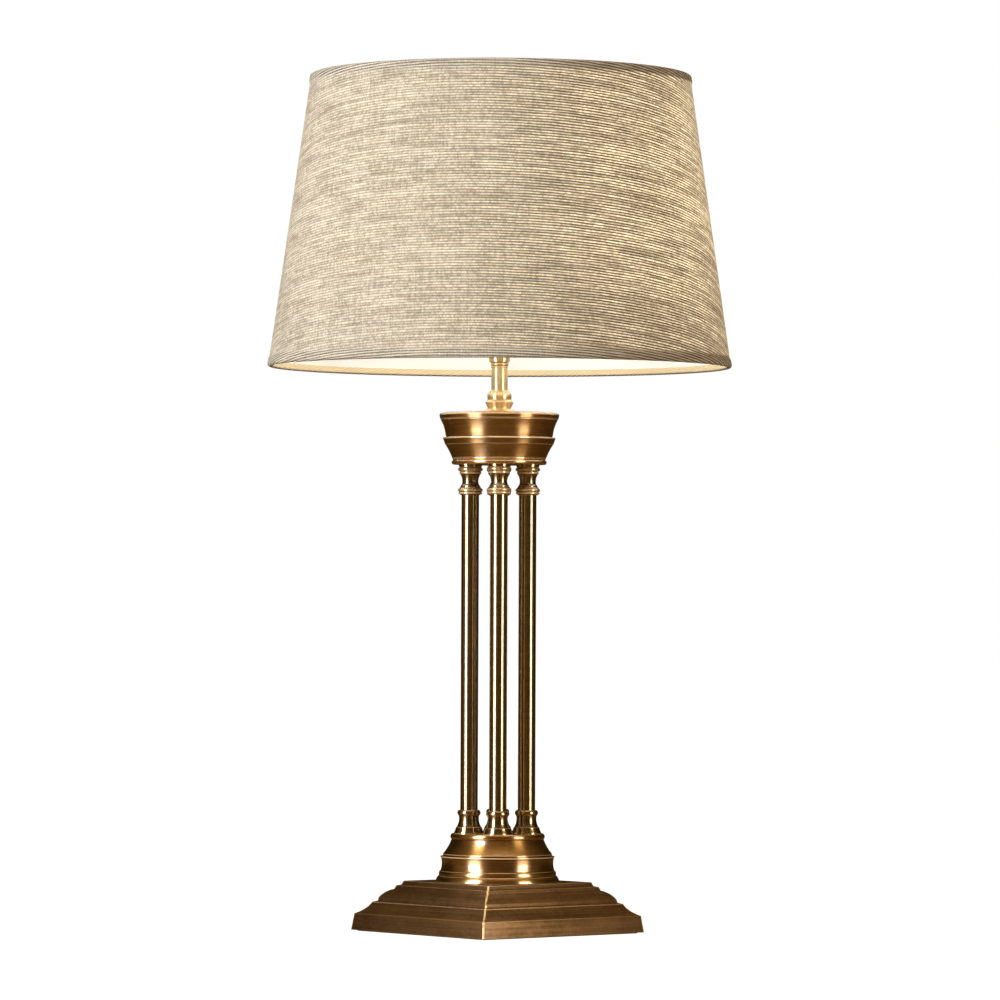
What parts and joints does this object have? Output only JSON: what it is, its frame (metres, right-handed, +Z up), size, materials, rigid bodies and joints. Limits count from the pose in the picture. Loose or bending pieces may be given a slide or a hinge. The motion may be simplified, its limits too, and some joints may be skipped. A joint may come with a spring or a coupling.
{
  "type": "table lamp",
  "caption": "Table lamp: stepped square brass base, a cluster of slim columns between a round plinth and a stepped capital, and a tapered linen shade.",
  "frame": {"origin": "centre of the underside, on the table, under the lamp's axis", "axes": "+Z up along the lamp's axis; the square base lies along X and Y, -Y is its front and the lead inlet faces +Y"},
  "size_m": [0.3562, 0.3562, 0.657],
  "materials": {
    "antique_brass": "antique bronzed brass, turned and brushed, edges rubbed bright",
    "bright_brass": "plain machined brass",
    "zinc_steel": "zinc plated",
    "white_wire": "white powder coat",
    "iron_weight": "rough casting",
    "felt": "dark brown baize",
    "linen": "coarse natural linen with slubs",
    "liner": "white translucent film",
    "porcelain": "glazed white",
    "dark_plastic": "moulded, fine matt",
    "pale_plastic": "moulded, satin",
    "lead_sheath": "smooth sheath",
    "bulb_glass": "inside frosted",
    "bulb_metal": "pressed thread"
  },
  "bodies": {
    "stand": {"base_casting": "antique_brass", "base_weight": "iron_weight", "bottom_cover": "zinc_steel", "capital_bowl": "antique_brass", "capital_lid": "antique_brass", "column_foot_back_left": "antique_brass", "column_foot_back_right": "antique_brass", "column_foot_front_left": "antique_brass", "column_foot_front_right": "antique_brass", "column_head_back_left": "antique_brass", "column_head_back_right": "antique_brass", "column_head_front_left": "antique_brass", "column_head_front_right": "antique_brass", "column_tube_back_left": "antique_brass", "column_tube_back_right": "antique_brass", "column_tube_front_left": "antique_brass", "column_tube_front_right": "antique_brass", "cover_screws": "zinc_steel", "felt_pad": "felt", "holder_cap": "bright_brass", "holder_contact": "bright_brass", "holder_core": "porcelain", "holder_grub_screw": "zinc_steel", "holder_screw_shell": "bright_brass", "holder_sleeve": "bright_brass", "holder_terminals": "bright_brass", "inner_lead": "lead_sheath", "lead_cores": "lead_sheath", "lead_inlet_bush": "dark_plastic", "lead_inlet_nut": "dark_plastic", "lower_shade_ring": "bright_brass", "neck_collar": "antique_brass", "neck_cup": "antique_brass", "neck_flange": "antique_brass", "neck_nipple": "zinc_steel", "neck_tube": "antique_brass", "nipple_nut": "zinc_steel", "plinth": "antique_brass", "terminal_block": "pale_plastic", "tie_nuts": "zinc_steel", "tie_rod_back_left": "zinc_steel", "tie_rod_front_left": "zinc_steel", "tie_rod_front_right": "zinc_steel", "tie_washers": "zinc_steel", "wire_conduit": "zinc_steel"},
    "shade": {"shade_linen": "linen", "shade_liner": "liner", "rim_wire_lower": "white_wire", "rim_wire_upper": "white_wire", "shade_spokes": "white_wire", "fitter_ring": "white_wire"},
    "retaining_ring": {"upper_shade_ring": "bright_brass"},
    "bulb": {"bulb_glass": "bulb_glass", "bulb_screw_cap": "bulb_metal", "bulb_insulator": "dark_plastic", "bulb_tip": "bright_brass"}
  },
  "joints": [
    {"name": "shade_swivel", "type": "hinge", "parent": "stand", "child": "shade", "pos_m": [0, 0, 0.474], "axis": [0, 0, 1], "continuous": true},
    {"name": "ring_unscrew", "type": "hinge", "parent": "stand", "child": "retaining_ring", "pos_m": [0, 0, 0.477], "axis": [0, 0, 1], "range_deg": [0, 1080]},
    {"name": "bulb_out", "type": "slide", "parent": "stand", "child": "bulb", "axis": [0, 0, 1], "range_m": [0, 0.2]}
  ]
}
